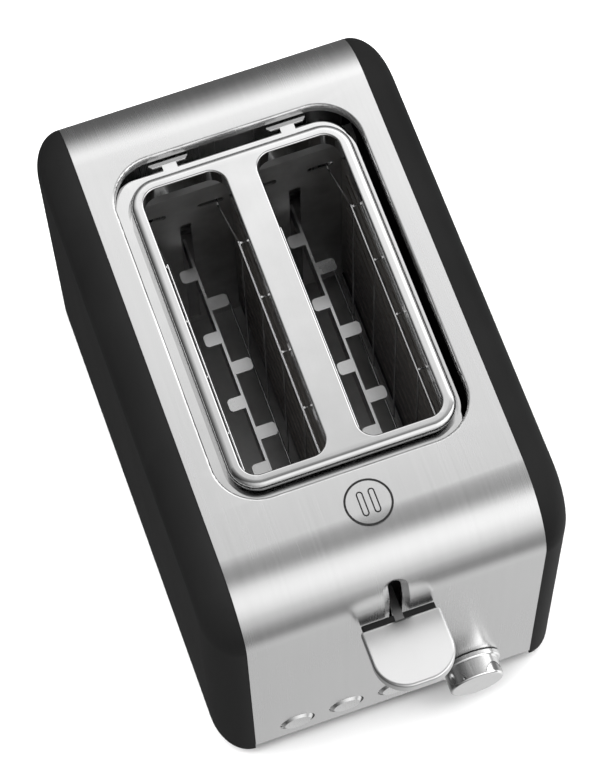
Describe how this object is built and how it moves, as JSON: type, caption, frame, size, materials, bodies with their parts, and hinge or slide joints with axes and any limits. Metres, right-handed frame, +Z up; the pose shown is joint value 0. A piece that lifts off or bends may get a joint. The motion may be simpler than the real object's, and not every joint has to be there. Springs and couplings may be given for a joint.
{
  "type": "pop up toaster",
  "caption": "Pop-up toaster with long wrapped steel shell, dark side panels, polished slot frame, sliding lever, push buttons, browning knob and pull-out crumb tray.",
  "frame": {"origin": "on the worktop, under the middle of the toaster with its lever and tray grip", "axes": "+Z up, +Y along the slots from the control end to the rear, +X to the right seen from the control end"},
  "size_m": [0.164, 0.298, 0.1816],
  "materials": {
    "brushed_steel": "brushed",
    "polished_steel": "polished",
    "chrome": "polished",
    "black_plastic": "satin",
    "base_plastic": "fine texture",
    "rubber": "matte",
    "plated_steel": "dull zinc plating",
    "mica": "satin",
    "heater_alloy": "oxidised",
    "guard_wire": "bright drawn",
    "spring_steel": "drawn",
    "board": "satin",
    "copper_coil": "lacquered",
    "core_iron": "bare",
    "switch_plastic": "satin",
    "button_steel": "satin"
  },
  "bodies": {
    "chassis": {"base_plate": "base_plastic", "browning_control": "switch_plastic", "carriage_spring_left": "spring_steel", "carriage_spring_right": "spring_steel", "control_board": "board", "cord_bush": "rubber", "element_card_left_inner": "mica", "element_card_left_outer": "mica", "element_card_right_inner": "mica", "element_card_right_outer": "mica", "foot_front_left": "rubber", "foot_front_right": "rubber", "foot_rear_left": "rubber", "foot_rear_right": "rubber", "front_end_plate": "plated_steel", "guide_rod_left": "polished_steel", "guide_rod_right": "polished_steel", "heat_shield_left": "plated_steel", "heat_shield_right": "plated_steel", "heater_ribbon_left_inner": "heater_alloy", "heater_ribbon_left_outer": "heater_alloy", "heater_ribbon_right_inner": "heater_alloy", "heater_ribbon_right_outer": "heater_alloy", "magnet_coil": "copper_coil", "magnet_core": "core_iron", "outer_shell": "brushed_steel", "panel_screws": "plated_steel", "rear_end_plate": "plated_steel", "rod_bracket": "plated_steel", "side_panel_left": "black_plastic", "side_panel_right": "black_plastic", "slot_frame": "polished_steel", "switch_centre": "switch_plastic", "switch_left": "switch_plastic", "switch_right": "switch_plastic", "terminal_block": "switch_plastic", "terminal_bracket": "plated_steel"},
    "carriage": {"carriage_yoke": "plated_steel", "bread_rack_left": "plated_steel", "bread_rack_right": "plated_steel", "lever_paddle": "chrome", "lever_backing": "black_plastic"},
    "knob": {"browning_knob": "chrome", "knob_shaft": "switch_plastic"},
    "tray": {"crumb_tray": "plated_steel"},
    "push_button_left": {"button_left": "button_steel"},
    "push_button_centre": {"button_centre": "button_steel"},
    "push_button_right": {"button_right": "button_steel"},
    "guard_left_outer": {"bread_guard_left_outer": "guard_wire"},
    "guard_left_inner": {"bread_guard_left_inner": "guard_wire"},
    "guard_right_outer": {"bread_guard_right_outer": "guard_wire"},
    "guard_right_inner": {"bread_guard_right_inner": "guard_wire"}
  },
  "joints": [
    {"name": "carriage_slide", "type": "slide", "parent": "chassis", "child": "carriage", "axis": [0, 0, -1], "range_m": [-0.016, 0.06], "stiffness_N_per_m": 120, "springref_m": -0.015, "deforming": ["carriage_spring_left", "carriage_spring_right"]},
    {"name": "browning_turn", "type": "hinge", "parent": "chassis", "child": "knob", "pos_m": [0.0364, -0.115, 0.029], "axis": [0, 1, 0], "range_deg": [0, 270]},
    {"name": "tray_slide", "type": "slide", "parent": "chassis", "child": "tray", "axis": [0, 1, 0], "range_m": [0, 0.19]},
    {"name": "press_left", "type": "slide", "parent": "chassis", "child": "push_button_left", "axis": [0, 1, 0], "range_m": [0, 0.002], "stiffness_N_per_m": 400, "springref_m": -0.002},
    {"name": "press_centre", "type": "slide", "parent": "chassis", "child": "push_button_centre", "axis": [0, 1, 0], "range_m": [0, 0.002], "stiffness_N_per_m": 400, "springref_m": -0.002},
    {"name": "press_right", "type": "slide", "parent": "chassis", "child": "push_button_right", "axis": [0, 1, 0], "range_m": [0, 0.002], "stiffness_N_per_m": 400, "springref_m": -0.002},
    {"name": "guard_tilt_left_outer", "type": "hinge", "parent": "chassis", "child": "guard_left_outer", "pos_m": [-0.0425, 0.0175, 0.046], "axis": [0, 1, 0], "range_deg": [-1.1, 4.05]},
    {"name": "guard_tilt_left_inner", "type": "hinge", "parent": "chassis", "child": "guard_left_inner", "pos_m": [-0.0097, 0.0175, 0.046], "axis": [0, -1, 0], "range_deg": [-1.1, 4.05]},
    {"name": "guard_tilt_right_outer", "type": "hinge", "parent": "chassis", "child": "guard_right_outer", "pos_m": [0.0425, 0.0175, 0.046], "axis": [0, -1, 0], "range_deg": [-1.1, 4.05]},
    {"name": "guard_tilt_right_inner", "type": "hinge", "parent": "chassis", "child": "guard_right_inner", "pos_m": [0.0097, 0.0175, 0.046], "axis": [0, 1, 0], "range_deg": [-1.1, 4.05]}
  ],
  "couplings": [
    {"joint": "guard_tilt_left_outer", "follows": "carriage_slide", "rad_per_m": 1.1636},
    {"joint": "guard_tilt_left_inner", "follows": "carriage_slide", "rad_per_m": 1.1636},
    {"joint": "guard_tilt_right_outer", "follows": "carriage_slide", "rad_per_m": 1.1636},
    {"joint": "guard_tilt_right_inner", "follows": "carriage_slide", "rad_per_m": 1.1636}
  ]
}
